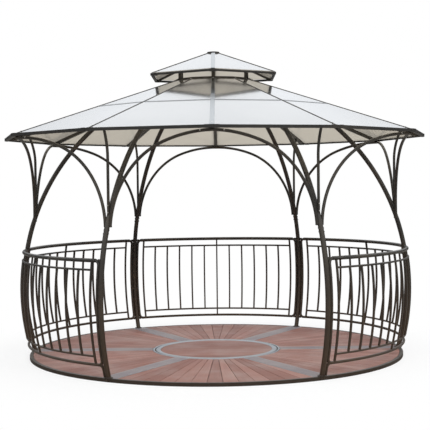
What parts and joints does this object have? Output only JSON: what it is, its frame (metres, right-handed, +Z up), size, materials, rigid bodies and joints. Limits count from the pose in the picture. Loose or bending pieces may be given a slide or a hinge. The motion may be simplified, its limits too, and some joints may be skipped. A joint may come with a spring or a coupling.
{
  "type": "garden canopy",
  "caption": "Round iron garden canopy with bowed posts, curved railings, a boarded deck, a faceted glazed roof and a raised cupola over its vent.",
  "frame": {"origin": "on the ground under the middle of the round deck", "axes": "+Z up, the open entrance bay faces -Y, +X to the right of someone facing the entrance from outside"},
  "size_m": [4.2, 4.2, 3.002],
  "materials": {
    "frame": "satin powder coat",
    "caps": "satin",
    "glazing": "glossy twin-wall sheet",
    "boards": "brushed composite boards",
    "grey_boards": "brushed composite boards"
  },
  "bodies": {
    "root": {"arch_back": "frame", "arch_entrance": "frame", "arch_front_left": "frame", "arch_front_right": "frame", "arch_left": "frame", "arch_right": "frame", "bracket_back_left": "frame", "bracket_back_right": "frame", "bracket_front_left": "frame", "bracket_front_right": "frame", "bracket_left": "frame", "bracket_right": "frame", "cupola_cap": "frame", "cupola_frame": "frame", "cupola_rafters": "frame", "cupola_struts": "frame", "deck_rim": "frame", "eave_gutter": "frame", "hip_rafters": "frame", "top_ring": "frame", "hip_caps": "caps", "panel_joints": "caps", "cupola_glazing": "glazing", "lower_glazing": "glazing", "upper_glazing": "glazing", "deck_boards": "boards", "medallion_boards": "boards", "deck_strips": "grey_boards", "medallion_ring": "grey_boards", "post_back_left": "frame", "rib_back_left": "frame", "post_back_right": "frame", "rib_back_right": "frame", "post_front_left": "frame", "rib_front_left": "frame", "post_front_right": "frame", "rib_front_right": "frame", "post_left": "frame", "rib_left": "frame", "post_right": "frame", "rib_right": "frame", "rail_panel_back": "frame", "rail_panel_front_left": "frame", "rail_panel_front_right": "frame", "rail_panel_left": "frame", "rail_panel_right": "frame"}
  },
  "joints": []
}
